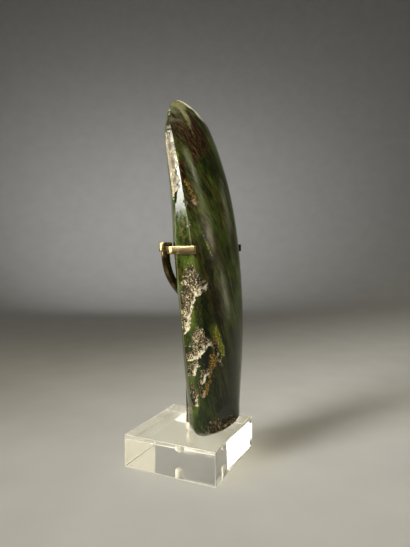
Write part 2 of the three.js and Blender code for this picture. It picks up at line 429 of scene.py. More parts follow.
# The axe's driving dimensions, as in the CAD model.
AXE_BOTTOM, AXE_TOP = 25.3, 284.6
BUTT = {"x": -15.5, "y": -17.5, "start": 37.0, "rest": 0.12, "roundness": 0.8}
CREST = {"x": 9.0, "near": 251.5, "far": 242.0, "thins_from": 275, "roundness": 0.8}
SCAR_NORMAL = np.array([-0.38, -0.89, -0.24]) / np.linalg.norm([-0.38, -0.89, -0.24])
SCAR_SEAT = np.array([-18.0, -33.6, 44.0])
SCAR_HEART = np.array([-2.0, -20.0, 60.0])
BLADE_EDGE = 0.15
FULLNESS = 2.2

# Each measure of the cross-section at a few heights: (height, measure).
PROFILES = {
    "near_side": [(44, -29), (85, -33), (165, -36.6), (225, -34.6), (262, -29)],
    "far_side": [(44, 29), (85, 33), (165, 36.8), (205, 37), (240, 36.5)],
    "mid_near": [(44, -21), (100, -19.7), (165, -14), (215, -8), (262, 3.6), (284.6, 9)],
    "twist": [(44, 1.5), (110, 0), (165, 0), (215, -1.6), (262, -1.6), (284.6, 0)],
    "front": [(44, 19), (100, 21.5), (165, 24), (215, 20), (245, 17.5), (265, 14), (275, 9.4)],
    "back": [(44, 19), (100, 21.5), (165, 22), (215, 21), (245, 18), (265, 13), (275, 9.4)],
    "near_facet": [(44, 4.5), (110, 8), (165, 6.5), (215, 3), (250, 2.3), (258, 1.5), (263, 0)],
    "far_facet": [(44, 6), (110, 6.5), (165, 6), (215, 3), (238, 0)],
}

# The mesh: its rings, how evenly they are spaced, and the columns of each side round one ring.
ROWS, EVEN_SHARE = 430, 0.75
FRONT_COLUMNS, FAR_COLUMNS, BACK_COLUMNS, NEAR_COLUMNS = 112, 8, 56, 26
FRONT_CROWDING, BACK_CROWDING = 1.25, 1.0
LAST_RING = AXE_TOP - 0.03

# How far the front ridge is worn round, the heights where that begins and is full, from both ends, and
# how near the ridge it is full and how far off it ends.
WEAR = {"reach": 3.4, "top": 165, "full_below": 115, "bottom": 26, "full_above": 36}
WEAR_NEAR, WEAR_OFF = 4, 8
WEAR_SAMPLES = 13
# What is told of points that are nowhere near the break, or nowhere near a stroke, in mm.
WITHIN_BREAK, OFF_STROKES = -9.0, 99.0


def profile(points, z):
    """The smooth curve through the points that never swings past them, as in the CAD model."""
    at, value = np.array(points, float).T
    slope = np.diff(value) / np.diff(at)
    tangent = np.concatenate([slope[:1], np.zeros(len(slope) - 1), slope[-1:]])
    for i in range(1, len(slope)):
        if slope[i - 1] * slope[i] > 0:
            tangent[i] = 2 * slope[i - 1] * slope[i] / (slope[i - 1] + slope[i])
    height = np.clip(z, at[0], at[-1])
    i = np.clip(np.searchsorted(at, height) - 1, 0, len(slope) - 1)
    span = at[i + 1] - at[i]
    t = (height - at[i]) / span
    rise = t * t * (3 - 2 * t)
    bend = span * t * (1 - t) * (tangent[i] * (1 - t) - tangent[i + 1] * t)
    return value[i] * (1 - rise) + value[i + 1] * rise + bend


def section_at(z):
    """The measures of the axe's cross-section at each height, as in the CAD model."""
    size = {name: profile(points, z) for name, points in PROFILES.items()}

    def quarter(start):
        return np.sqrt(1 - np.clip((z - start) / (AXE_TOP - start), 0, 1) ** 2)

    thin = np.minimum((AXE_TOP - z) / (AXE_TOP - CREST["thins_from"]), 1) ** CREST["roundness"]
    drop = np.clip((BUTT["start"] - z) / (BUTT["start"] - AXE_BOTTOM), 0, 1)
    closing = BUTT["rest"] + (1 - BUTT["rest"]) * (1 - drop * drop) ** BUTT["roundness"]
    near = CREST["x"] + (size["near_side"] - CREST["x"]) * quarter(CREST["near"])
    far = CREST["x"] + (size["far_side"] - CREST["x"]) * quarter(CREST["far"])
    mid_near, mid_far = size["mid_near"], size["mid_near"] + size["twist"]
    return {
        "near": BUTT["x"] + (near - BUTT["x"]) * closing,
        "far": BUTT["x"] + (far - BUTT["x"]) * closing,
        "mid_near": BUTT["y"] + (mid_near - BUTT["y"]) * closing,
        "mid_far": BUTT["y"] + (mid_far - BUTT["y"]) * closing,
        "front": size["front"] * thin * closing,
        "back": size["back"] * thin * closing,
        "near_facet": np.maximum(size["near_facet"] * closing, BLADE_EDGE),
        "far_facet": np.maximum(size["far_facet"] * closing, BLADE_EDGE),
    }


def face_points(section, z, across, side):
    """One broad face: across runs from -1 on the near side to 1 on the far side. side is -1 in front."""
    near, far = (1 - across) / 2, (1 + across) / 2
    part = {name: value[:, None] for name, value in section.items()}
    flat = part["near_facet"] * near + part["far_facet"] * far
    bulge = part["front" if side < 0 else "back"]
    swell = np.maximum(bulge - flat, 0) * (1 - np.abs(across) ** FULLNESS)
    x = part["near"] * near + part["far"] * far
    y = part["mid_near"] * near + part["mid_far"] * far + side * (flat + swell)
    return np.stack([x, y, np.broadcast_to(z[:, None], x.shape)], axis=-1)


def break_off(points):
    """What lies beyond the break is drawn back to its plane. Also gives how far out each point lay."""
    reach = SCAR_NORMAL @ (SCAR_SEAT - SCAR_HEART)
    out = (points - SCAR_HEART) @ SCAR_NORMAL
    pull = np.where(out > reach, reach / np.maximum(out, 1e-9), 1.0)
    return SCAR_HEART + (points - SCAR_HEART) * pull[..., None], out - reach


def across_steps(columns, crowding):
    """Places from -1 to 1 along a face, closer together at both ends, and more so at the near one."""
    t = np.linspace(0, 1, columns) ** crowding
    return np.sin(np.pi * (t - 0.5))


def columns_between(a, b, columns):
    """Evenly spaced columns between two columns of points, without those two."""
    t = (np.arange(columns) + 1) / (columns + 1)
    return a[:, None] * (1 - t[:, None]) + b[:, None] * t[:, None]


def soften_ridge(grid, girth):
    """Wears the front ridge of the near narrow side round, more so towards the butt."""
    ring = np.roll(grid, -FRONT_COLUMNS, axis=1)
    place = np.roll(girth, -FRONT_COLUMNS, axis=1)
    z = grid[:, 0, 2]
    reach = WEAR["reach"] * smooth(WEAR["top"], WEAR["full_below"], z)
    reach = reach * smooth(WEAR["bottom"], WEAR["full_above"], z)
    offsets = np.linspace(-1, 1, WEAR_SAMPLES)
    weight = (1 - offsets ** 2) ** 2
    weight /= weight.sum()
    worn = np.zeros_like(ring)
    for offset, share in zip(offsets, weight):
        for row in range(ROWS):
            at = place[row] + offset * reach[row]
            for axis in range(3):
                worn[row, :, axis] += share * np.interp(at, place[row], ring[row, :, axis])
    local = smooth(WEAR_OFF, WEAR_NEAR, np.abs(place))[..., None]
    return np.roll(ring * (1 - local) + worn * local, FRONT_COLUMNS, axis=1)


def ring_heights():
    """The height of each ring, from the butt to the crest, closer together at both ends."""
    t = np.linspace(0, 1, ROWS)
    even = AXE_BOTTOM + (AXE_TOP - AXE_BOTTOM) * t
    rounded = AXE_BOTTOM + (AXE_TOP - AXE_BOTTOM) * (1 - np.cos(np.pi * t)) / 2
    return np.minimum(EVEN_SHARE * even + (1 - EVEN_SHARE) * rounded, LAST_RING)


def axe_grid():
    """Rings of points, with each point's girth, the near narrow side's width and how far beyond the break
    each point lay. Girth is 0 at the front ridge of the near narrow side. It grows along the front and
    falls below 0 over the narrow side and along the back."""
    z = ring_heights()
    section = section_at(z)
    front, out = break_off(face_points(section, z, across_steps(FRONT_COLUMNS, FRONT_CROWDING), -1))
    back = face_points(section, z, across_steps(BACK_COLUMNS, BACK_CROWDING), 1)[:, ::-1]
    far = columns_between(front[:, -1], back[:, 0], FAR_COLUMNS)
    near = columns_between(back[:, -1], front[:, 0], NEAR_COLUMNS)

    step = np.linalg.norm(np.diff(front, axis=1), axis=2)
    ahead = np.concatenate([np.zeros((ROWS, 1)), np.cumsum(step, axis=1)], axis=1)
    rest = np.concatenate([far, back, near], axis=1)
    step = np.linalg.norm(np.diff(np.concatenate([rest, front[:, :1]], axis=1), axis=1), axis=2)
    behind = -np.cumsum(step[:, ::-1], axis=1)[:, ::-1]
    girth = np.concatenate([ahead, behind], axis=1)
    grid = soften_ridge(np.concatenate([front, rest], axis=1), girth)
    width = np.linalg.norm(front[:, 0] - back[:, -1], axis=1)
    beyond = np.full(girth.shape, WITHIN_BREAK)
    beyond[:, :FRONT_COLUMNS] = out
    return grid, girth, width[:, None], beyond


# Strokes over the near narrow side and the front: (girth, height, half width) from one end to the other.
# Where the half width is below 0, the stroke shows only where its ragged border reaches out.
RIND_STROKES = [
    [(-2.5, 153, 2), (-3, 147, 5.6), (-4, 141, 8), (-8, 134, 6.4), (-10.5, 126, 5.4), (-13, 115, 4),
     (-15.6, 106, 2)],
    [(-1, 141, 4.5), (4.5, 140.5, 3), (7.5, 141, 1.8)],
    [(-3, 108, 2.4), (-4, 103, 5.2), (-0.5, 99.5, 4.6), (3.5, 99, 2.6)],
    [(-2, 94, 2), (-7, 91, 3.8), (-12, 87, 3)],
    [(-13, 97, 1.2), (-6, 96, 1.2)],
    [(-6.5, 84, 2.2), (-9.5, 79.5, 4.2), (-9, 76.5, 2.8)],
    [(3, 78, 2), (-0.5, 76.5, 3.2), (-1.5, 71, 2.4)],
    [(-9.5, 67, 1.8), (-8, 60, 3.6), (-6.8, 54.5, 2.7)],
    [(-2, 66, 1.4), (-1.5, 61, 1.8)],
    [(10, 96.5, 1.7), (11.2, 91, 2.1)],
    [(13.3, 86, 1.4), (14, 82.5, 1.3)],
    [(0.6, 184, -0.5), (-1.2, 182.5, -0.4)],
    [(-5.2, 248, 2.4), (-5.8, 240, 4.4), (-6, 228, 4.8), (-7, 214, 4.2), (-8.8, 204, 2.2)],
    [(0, 198, -0.2), (1.2, 197, -0.2)],
    [(6, 198.5, 0.4), (9, 197.5, 0.4)],
    [(0.3, 269, 1.6), (1, 265.5, 1.5)],
]
CRUST_STROKES = [
    [(-6, 250, 1.5), (-7, 240, 3.5), (-7.5, 226, 4.2), (-8, 212, 4), (-9, 201, 2)],
]
TAN_STROKES = [
    [(-11, 69, 2), (-9.5, 64, 2)],
    [(-2, 67, 2), (-1.5, 60, 2.4)],
]
OCHRE_STROKES = [
    [(9.5, 108, 0.6), (10, 99, 1.4), (9, 93, 1.6), (7.5, 87, 3), (6, 80, 2), (4.5, 73, 2), (3, 66, 1)],
    [(3, 213, 0.6), (6, 207, 1.4), (7.5, 202, 1.2), (8.5, 197, 0.6)],
    [(0.5, 75, 1), (1.5, 63, 1)],
]
LIME_STROKES = [
    [(10.5, 110, 1), (12.5, 101, 1.8), (15, 94, 3), (16.5, 89, 1.5)],
    [(9, 178, 0.3), (11, 171, 0.5), (13.2, 165, 0.5), (14.6, 160, 0.3)],
    [(1, 235, 0.4), (0.5, 225, 0.4)],
]
UMBER_STROKES = [
    [(2, 266, 1), (7, 258, 4), (14, 249, 6), (16, 240, 5), (15, 228, 2)],
    [(20, 264, 3), (25, 253, 6), (26, 244, 6)],
    [(2, 228, 2), (3.5, 214, 3)],
    [(26, 195, 1), (27, 182, 1)],
]
# Painted shade, darkening the stone beside the front sheen, along the front ridge, on the near narrow side
# and above the break.
SHADE_STROKES = [
    [(11, 180, 2.5), (12, 160, 3.5), (12, 140, 3.5), (13, 115, 3.5)],
    [(16, 50, 9), (26, 45, 8), (32, 40, 6)],
    [(2, 136, 1), (3, 125, 4.5), (6, 115, 5)],
    [(-2, 127, 2.5), (0, 112, 5), (3, 88, 4.5), (0, 60, 4)],
    [(-5, 98, 1.5), (-4, 68, 3), (-2, 45, 3)],
]
BROWN_STROKES = [
    [(8, 270, 8), (14, 252, 14), (17, 240, 8)],
    [(4, 238, 6), (5, 215, 6), (5, 197, 4)],
    [(9, 188, 3), (12, 165, 4), (12, 140, 4), (14, 112, 4)],
    [(20, 60, 5), (24, 46, 5)],
]
# The first pale stroke is the pale olive top; the second is a painted sheen running down under the crest.
PALE_STROKES = [
    [(0, 279, 5), (8, 280, 6), (18, 279, 3)],
    [(10, 273, 3), (14, 264, 1.5), (17, 252, 0)],
]


def stroke_distance(strokes, girth, z):
    """How far each point lies outside the nearest stroke, in mm, and below 0 inside it."""
    nearest = np.full(girth.shape, OFF_STROKES)
    for stroke in strokes:
        for (g0, z0, r0), (g1, z1, r1) in zip(stroke, stroke[1:]):
            dg, dz = g1 - g0, z1 - z0
            t = np.clip(((girth - g0) * dg + (z - z0) * dz) / (dg * dg + dz * dz), 0, 1)
            off = np.hypot(girth - g0 - t * dg, z - z0 - t * dz) - (r0 + t * (r1 - r0))
            nearest = np.minimum(nearest, off)
    return nearest


def surface_normals(grid):
    """Outward unit normals of a grid of rings."""
    along = np.gradient(grid, axis=0)
    around = np.roll(grid, -1, axis=1) - np.roll(grid, 1, axis=1)
    normal = np.cross(around, along)
    return normal / np.maximum(np.linalg.norm(normal, axis=2, keepdims=True), 1e-9)


class AxeSurface:
    """The axe's rings of points, what covers each point, and how deep it is worn. Two noises make borders
    uneven: ragged is fine, and drawn_out is long in the direction of the stone's fibres."""

    SCAR_TOP = 40.0
    LIP_SHIFT = 1.6
    # Between these heights the rind of the narrow side turns pale all over: a painted reflection of a lamp
    # in the polished narrow side.
    RIND_REFLECTION = (195, 205)
    # Under the crest the wear fades to this share of its depth over this height.
    CREST_WEAR, CREST_FADE = 0.25, 6

    def __init__(self):
        self.grid, self.girth, self.width, beyond = axe_grid()
        self.z = self.grid[..., 2]
        self.ragged = self.field(2.6, 11.0, 3) * 2.0 + self.field(6.0, 23.0) * 1.6
        self.drawn_out = self.field((6.0, 6.0, 18.0), 4.0, 2) * 3.5
        patch_off = self.off(RIND_STROKES) + self.ragged
        below_scar_top = (self.z - self.SCAR_TOP) * 0.8 + self.ragged
        self.scar_off = np.maximum(-beyond + self.ragged * 0.6 - 0.3, below_scar_top)
        self.rind_off = np.minimum(patch_off, self.scar_off)
        self.rind = smooth(1.4, -1.6, self.rind_off)
        self.rind_highlight = self.lit_borders(patch_off)

    def field(self, size, shift=0.0, octaves=1):
        """Noise at each point."""
        return ridged_at(self.grid.reshape(-1, 3), size, shift, octaves).reshape(self.z.shape)

    def off(self, strokes, along=0.0, up=0.0):
        """How far each point lies outside the strokes when it is moved along and up by so many mm."""
        return stroke_distance(strokes, self.girth + along, self.z + up)

    def lit_borders(self, patch_off):
        """The lower right border of each patch of rind stands up a little and carries a painted highlight.
        """
        along, up = self.LIP_SHIFT * 0.6, self.LIP_SHIFT * 0.8
        lower_right = self.off(RIND_STROKES, along, -up) + self.ragged
        upper_left = self.off(RIND_STROKES, -along, up) + self.ragged
        border = smooth(0.8, -0.4, patch_off) * smooth(-3.2, -1.2, patch_off)
        return smooth(0.9, 2.2, lower_right - upper_left) * border

    def masks(self):
        """The numbers from 0 to 1 that the material reads."""
        z, girth = self.z, self.girth
        stained_scar = 0.6 * smooth(0.3, -0.6, self.scar_off) * smooth(28, 40, z)
        # Painted rim light: a pale band along the rear ridge of the near narrow side.
        rim_light = 0.7 * smooth(2.0, 0.2, np.abs(girth + self.width + 1.6))
        rim_light = rim_light * smooth(60, 110, z) * smooth(205, 180, z)
        dull_front = smooth(-1.0, 2.0, girth + 1.5 * smooth(195, 185, z))
        dull_patches = 0.4 + 0.6 * smooth(-0.4, 0.6, self.field(14.0, 31.0, 2))
        # Painted shade: darker towards the butt.
        shaded_foot = smooth(150, 60, z) * (0.6 + 0.6 * self.field((16, 16, 40), 41.0, 2)).clip(0, 1)
        tan_off = self.off(TAN_STROKES) + self.drawn_out * 0.5
        pale_off = self.off(PALE_STROKES) + self.drawn_out * 0.6
        return {
            "rind": self.rind,
            # Painted highlight on the rind's lower right borders, and painted reflection on the rind above
            # 195 mm.
            "rind_highlight": np.maximum(self.rind_highlight, 0.55 * smooth(*self.RIND_REFLECTION, z)),
            "tan": np.maximum(smooth(1.5, -1.5, tan_off), stained_scar),
            "ochre": smooth(1.2, -1.2, self.off(OCHRE_STROKES) + self.ragged),
            "lime": smooth(0.5, -0.6, self.off(LIME_STROKES) + self.ragged * 0.35),
            "umber": smooth(2.5, -2.5, self.off(UMBER_STROKES) + self.drawn_out),
            # Pale patches, the painted sheen stroke under the crest, and the painted rim light.
            "pale": np.maximum(smooth(2.0, -2.0, pale_off), rim_light),
            "brown": smooth(5, -5, self.off(BROWN_STROKES) + self.drawn_out),
            "dull": dull_front * dull_patches * (1 - 0.5 * smooth(205, 230, z)),
            # Painted shade, from the darker foot and the shade strokes.
            "painted_shade": np.maximum(shaded_foot, 0.95 * smooth(3, -3, self.off(SHADE_STROKES) + self.drawn_out)),
        }

    def depth(self):
        """How far each point lies under the full section, in mm. The crust stands out over it."""
        grain = self.field(1.5, 2.0, 3)
        wave = self.field((22, 22, 60), 17.0, 2)
        depth = 0.06 + 0.10 * (1 + wave)
        depth += self.rind * (0.35 + 0.35 * (grain + 0.6)) * smooth(1.0, -1.5, self.rind_off)
        depth += 0.25 * smooth(0.0, -2.5, self.rind_off)
        depth -= 0.25 * self.rind_highlight
        depth = np.clip(depth, 0.02, 2.0)
        crust = smooth(1.0, -2.5, self.off(CRUST_STROKES))
        depth -= crust * (1.6 + 0.7 * grain)
        fade = smooth(AXE_TOP, AXE_TOP - self.CREST_FADE, self.z)
        return depth * (self.CREST_WEAR + (1 - self.CREST_WEAR) * fade)

    def shaped(self):
        """The worn rings of points."""
        points = self.grid - surface_normals(self.grid) * self.depth()[..., None]
        points[..., 2] = np.clip(points[..., 2], AXE_BOTTOM, LAST_RING)
        return points


def axe_piece():
    surface = AxeSurface()
    points = surface.shaped()
    vertices = np.concatenate([points.reshape(-1, 3), [points[0].mean(axis=0), points[-1].mean(axis=0)]])
    axe = new_object("jadeite_axe_head", vertices, tube_faces(*surface.z.shape), jade_material())
    for name, value in surface.masks().items():
        attribute = axe.data.attributes.new(name, "FLOAT", "POINT")
        hubs = [value[0].mean(), value[-1].mean()]
        attribute.data.foreach_set("value", np.concatenate([value.ravel(), hubs]).astype(np.float32))
    return add_piece(axe, "jade", "axe_head")


# ---------------------------------------------------------------- acrylic block

BLOCK_BEVEL = 0.4
HOLE = {"radius": 3.55, "depth": 17.2, "point_angle": 118.0, "countersink": 0.35, "sides": 64}
HOLE_FLOOR = BLOCK_HIGH[2] - HOLE["depth"]
HOLE_TIP = HOLE_FLOOR - HOLE["radius"] / math.tan(math.radians(HOLE["point_angle"] / 2))
HOLE_MOUTH_RADIUS = HOLE["radius"] + 2 * HOLE["countersink"]
# A face of the block counts as flat when this much of its normal lies along one axis.
FLAT_SHARE = 0.999


def drill(material):
    """The shape of the hole: a cylinder with a drill's point below and a countersink above."""
    radius, sunk, top = HOLE["radius"], HOLE["countersink"], BLOCK_HIGH[2]
    outline = [(radius, HOLE_FLOOR), (radius, top - sunk), (HOLE_MOUTH_RADIUS, top + sunk)]
    angles = circle_angles(HOLE["sides"])
    points = [(FOOT_X + r * math.cos(a), FOOT_Y + r * math.sin(a), z) for r, z in outline for a in angles]
    points += [(FOOT_X, FOOT_Y, HOLE_TIP), (FOOT_X, FOOT_Y, top + sunk)]
    return new_object("drill", points, tube_faces(len(outline), HOLE["sides"]), material)


def in_hole(place):
    """Whether a place in mm is inside the hole or on its wall, with a little play at both ends."""
    near = math.hypot(place.x - FOOT_X, place.y - FOOT_Y) < HOLE_MOUTH_RADIUS
    return near and HOLE_TIP - 1 < place.z < BLOCK_HIGH[2] - 0.01


def block_piece():
    """The acrylic block with its drilled hole: flat faces clear, bevels and hole frosted."""
    mesh = bmesh.new()
    bmesh.ops.create_cube(mesh, size=1.0)
    bmesh.ops.scale(mesh, vec=(BLOCK_HIGH - BLOCK_LOW) * MM, verts=mesh.verts)
    bmesh.ops.translate(mesh, vec=(BLOCK_LOW + BLOCK_HIGH) / 2 * MM, verts=mesh.verts)
    bmesh.ops.bevel(
        mesh, geom=mesh.edges[:], offset=BLOCK_BEVEL * MM, segments=3, profile=0.6, affect="EDGES",
    )
    plain = bpy.data.meshes.new("clear_block")
    mesh.to_mesh(plain)
    mesh.free()
    plain.materials.append(acrylic_material())
    plain.materials.append(frosted_material())
    block = bpy.data.objects.new("clear_block", plain)
    SCENE.collection.objects.link(block)

    tool = drill(plain.materials[1])
    cut = block.modifiers.new("hole", "BOOLEAN")
    cut.operation = "DIFFERENCE"
    cut.solver = "EXACT"
    cut.object = tool
    cut.material_mode = "TRANSFER"
    bpy.context.view_layer.update()
    drilled = bpy.data.meshes.new_from_object(block.evaluated_get(bpy.context.evaluated_depsgraph_get()))
    block.modifiers.clear()
    block.data = drilled
    bpy.data.objects.remove(tool)
    drilled.name = "clear_block"
    for polygon in drilled.polygons:
        flat = abs(max(polygon.normal, key=abs)) > FLAT_SHARE
        clear = flat and not in_hole(polygon.center / MM)
        polygon.use_smooth = not clear
        polygon.material_index = 0 if clear else 1
    return add_piece(block, "acrylic", "acrylic_block")


# ---------------------------------------------------------------- brass rod, collar and clip

UP = np.array([0.0, 0.0, 1.0])
# The swan neck: where it is seen from the rod's foot, its height, and how far each bend's handles reach.
SWAN = {"x": 0.6, "y": 1.8, "height": 114.0, "rise": 50, "below": 30, "above": 20.5, "to_seat": 29}
ROD_END = {"bevel": 0.5, "height": 0.4}
# The rod's rings start from a direction that it never runs along.
RING_START = (0.3, -0.95, 0.1)
SOCKET_DEPTH = 5.0
COLLAR_ROUNDS = {"mouth": 0.3, "bottom": 0.35, "top": 0.7}
# Rings on the collar's flat top, as shares of its radius.
TOP_RINGS = (0.6, 0.25)
BAND = {"width": 5.8, "thickness": 1.8, "level": 165.4, "tilt": 2.06, "round": 0.28, "end_bevel": 0.22}
NEAR_ARM = {"inside": -36.9, "tip": -23.9, "bend": 8.0, "corner": -2.0, "slope": 31.0}
FAR_ARM = {"inside": 37.1, "tip": -28.3, "back": 10.2, "leaves": 2, "handle": 19, "turns": 0.8, "joins": -8}


def sweep(name, centre, radii, material, sides=40):
    """A round bar along the points of its centreline, with a radius at each."""
    along = np.gradient(centre, axis=0)
    along /= np.linalg.norm(along, axis=1, keepdims=True)
    across = np.cross(along, RING_START)
    across /= np.linalg.norm(across, axis=1, keepdims=True)
    other = np.cross(along, across)
    angle = circle_angles(sides)
    ring = across[:, None] * np.cos(angle)[:, None] + other[:, None] * np.sin(angle)[:, None]
    points = centre[:, None] + ring * radii[:, None, None]
    vertices = np.concatenate([points.reshape(-1, 3), centre[[0, -1]]])
    return new_object(name, vertices, tube_faces(len(centre), sides), material)


def bezier(a, b, c, d, steps):
    t = np.linspace(0, 1, steps)[:, None]
    a, b, c, d = (np.asarray(p, float) for p in (a, b, c, d))
    return a * (1 - t) ** 3 + 3 * b * t * (1 - t) ** 2 + 3 * c * t * t * (1 - t) + d * t ** 3


def rod_piece():
    """From the hole in the block up behind the axe, and over to the collar in a swan neck."""
    bottom = np.array([FOOT_X, FOOT_Y, ROD_LOW[2]])
    mouth = bottom + HOLE["depth"] * UP
    swan = np.array([FOOT_X + SWAN["x"], FOOT_Y + SWAN["y"], SWAN["height"]])
    seat = np.array([COLLAR_X, COLLAR_Y, COLLAR_LOW[2]])
    top = np.array([COLLAR_X, COLLAR_Y, ROD_HIGH[2]])
    path = np.concatenate([
        np.linspace(bottom, mouth, 10)[:-1],
        bezier(mouth, bottom + SWAN["rise"] * UP, swan - SWAN["below"] * UP, swan, 60)[:-1],
        bezier(swan, swan + SWAN["above"] * UP, seat - SWAN["to_seat"] * UP, seat, 80)[:-1],
        np.linspace(seat, top, 6),
    ])
    path = np.concatenate([path[:1], path[:1] + ROD_END["height"] * UP, path[1:]])
    radii = np.full(len(path), ROD_RADIUS)
    radii[0] -= ROD_END["bevel"]
    # Painted shade: the rod is made mostly dark brown, so that it looks as dark as a rod mirroring a dark
    # room.
    rod = sweep("brass_rod", path, radii, brass_material("brass_rod_darkened", (1.2, 1.2, 0.06), 1.0))
    return add_piece(rod, "brass", "stem_rod")


def turned(name, outline, material, sides=72):
    """A lathe piece from an outline of (radius, height) round the collar's axis."""
    angles = circle_angles(sides)
    x, y = COLLAR_X, COLLAR_Y
    points = [(x + r * math.cos(a), y + r * math.sin(a), z) for r, z in outline for a in angles]
    points += [(x, y, outline[0][1]), (x, y, outline[-1][1])]
    return new_object(name, points, tube_faces(len(outline), sides), material)


def arc_outline(x, z, radius, start, end, steps):
    """Points of an arc in an outline, by degrees."""
    angles = np.radians(np.linspace(start, end, steps))
    return [(x + radius * math.cos(a), z + radius * math.sin(a)) for a in angles]


def collar_piece():
    """A round cap with a socket for the rod below."""
    low, high = COLLAR_LOW[2], COLLAR_HIGH[2]
    outer, inner = COLLAR_RADIUS, ROD_RADIUS + GAP
    mouth, bottom, top = COLLAR_ROUNDS["mouth"], COLLAR_ROUNDS["bottom"], COLLAR_ROUNDS["top"]
    outline = [(inner, low + SOCKET_DEPTH)]
    outline += arc_outline(inner + mouth, low + mouth, mouth, 180, 270, 4)
    outline += arc_outline(outer - bottom, low + bottom, bottom, -90, 0, 5)
    outline += arc_outline(outer - top, high - top, top, 0, 90, 7)
    outline += [(outer * share, high) for share in TOP_RINGS]
    material = brass_material("brass_collar_finish", (0.15, 0.15, 1.6), -1.0)
    return add_piece(turned("brass_collar", outline, material), "brass", "collar")


def strip(name, line, material):
    """A flat strip with rounded edges along a plan curve, standing on edge and tilted with the clip."""
    line = eased_ends(line)
    along = np.gradient(line, axis=0)
    along /= np.linalg.norm(along, axis=1, keepdims=True)
    across = np.stack([-along[:, 1], along[:, 0]], axis=1)
    half_t, half_w, edge = BAND["thickness"] / 2, BAND["width"] / 2, BAND["round"]
    corners = [(half_t - edge, half_w - edge, 0), (edge - half_t, half_w - edge, 90),
               (edge - half_t, edge - half_w, 180), (half_t - edge, edge - half_w, 270)]
    ring = [p for t, w, turn in corners for p in arc_outline(t, w, edge, turn, turn + 90, 5)]
    rows = []
    for i, (point, side) in enumerate(zip(line, across)):
        bevel = BAND["end_bevel"] if i in (0, len(line) - 1) else 0.0
        thinner, lower = 1 - bevel / half_t, 1 - bevel / half_w
        for t, w in ring:
            rows.append((*(point + side * t * thinner), w * lower))
    hubs = [(*line[0], 0), (*line[-1], 0)]
    points = np.concatenate([rows, hubs])
    tilt = Matrix.Rotation(-math.radians(BAND["tilt"]), 3, "Y")
    points = points @ np.array(tilt).T + (COLLAR_X, COLLAR_Y, BAND["level"])
    return new_object(name, points, tube_faces(len(line), len(ring)), material)


def eased_ends(line):
    """The line with one more point close to each end, where the strip's end bevels start."""
    first = line[0] + (line[1] - line[0]) / np.linalg.norm(line[1] - line[0]) * BAND["end_bevel"]
    last = line[-1] + (line[-2] - line[-1]) / np.linalg.norm(line[-2] - line[-1]) * BAND["end_bevel"]
    return np.concatenate([line[:1], [first], line[1:-1], [last], line[-1:]])


def near_arm_piece():
    """From the collar straight to the rear ridge of the near narrow side, round a bend and along that side.
    The plan curve is measured from the collar's axis."""
    x = NEAR_ARM["inside"] - BAND["thickness"] / 2 - COLLAR_X
    slope = math.radians(NEAR_ARM["slope"])
    turn = math.pi / 2 - slope
    setback = NEAR_ARM["bend"] * math.tan(turn / 2)
    away = np.array([math.cos(slope), math.sin(slope)])
    corner = np.array([x, NEAR_ARM["corner"] - COLLAR_Y])
    offset = away[0] * corner[1] - away[1] * corner[0]
    clear = COLLAR_RADIUS + GAP + BAND["thickness"] / 4
    start = corner - away * (corner @ away + math.sqrt(clear * clear - offset * offset))
    centre = np.array([x + NEAR_ARM["bend"], NEAR_ARM["corner"] - setback - COLLAR_Y])
    angles = math.pi / 2 + slope + turn * np.linspace(0, 1, 18)
    bend = centre + NEAR_ARM["bend"] * np.stack([np.cos(angles), np.sin(angles)], axis=1)
    tip = np.array([x, NEAR_ARM["tip"] - COLLAR_Y])
    line = np.concatenate([[start], bend, np.linspace(bend[-1], tip, 14)[1:]])
    material = brass_material("brass_near_finish", (0.12, 0.12, 1.4), -0.6)
    return add_piece(strip("brass_near_arm", line, material), "brass", "near_arm")


def far_arm_piece():
    """From the collar straight along the back, round the far corner and along the far narrow side.
    The plan curve is measured from the collar's axis."""
    x = FAR_ARM["inside"] + BAND["thickness"] / 2 - COLLAR_X
    back = FAR_ARM["back"] - COLLAR_Y
    start = (COLLAR_RADIUS + GAP, back)
    leaves, handle = (FAR_ARM["leaves"] - COLLAR_X, back), (FAR_ARM["handle"] - COLLAR_X, back)
    turns, joins = (x, FAR_ARM["turns"] - COLLAR_Y), (x, FAR_ARM["joins"] - COLLAR_Y)
    curve = bezier(leaves, handle, turns, joins, 40)
    tip = (x, FAR_ARM["tip"] - COLLAR_Y)
    line = np.concatenate([
        np.linspace(start, curve[0], 10)[:-1],
        curve,
        np.linspace(curve[-1], tip, 12)[1:],
    ])
    material = brass_material("brass_far_finish", (0.12, 0.12, 1.4), 1.0)
    return add_piece(strip("brass_far_arm", line, material), "brass", "far_arm")


# ---------------------------------------------------------------- stage, light and camera

# The floor's reach and rise in mm. It is flat for a share of its reach and then sweeps up, with a power.
STUDIO = {"reach": 2600.0, "rise": 3500.0, "flat": 0.45, "power": 2.4, "sides": 96, "steps": 40}
FIRST_STEP = 0.02
SKY = {"colour": (1.0, 0.97, 0.9, 1), "strength": 0.13}
AIM = Vector((0.0, -0.014, 0.15))
AIM_HIGH = Vector((-0.03, -0.02, 0.2))
AIM_SHOULDER = Vector((-0.03, -0.02, 0.24))
AIM_PAST_AXE = Vector((2.0, 1.0, 0.6))
WARM, SOFT, CLEAR = (1.0, 0.9, 0.62), (1.0, 0.95, 0.84), (1.0, 0.98, 0.93)
CREAM = (1.0, 0.92, 0.68)
CAMERA = {"place": (-0.3127, -0.1606, 0.1600), "pan": -64.7, "dip": 2.15, "roll": -0.29, "lens": 29.15}


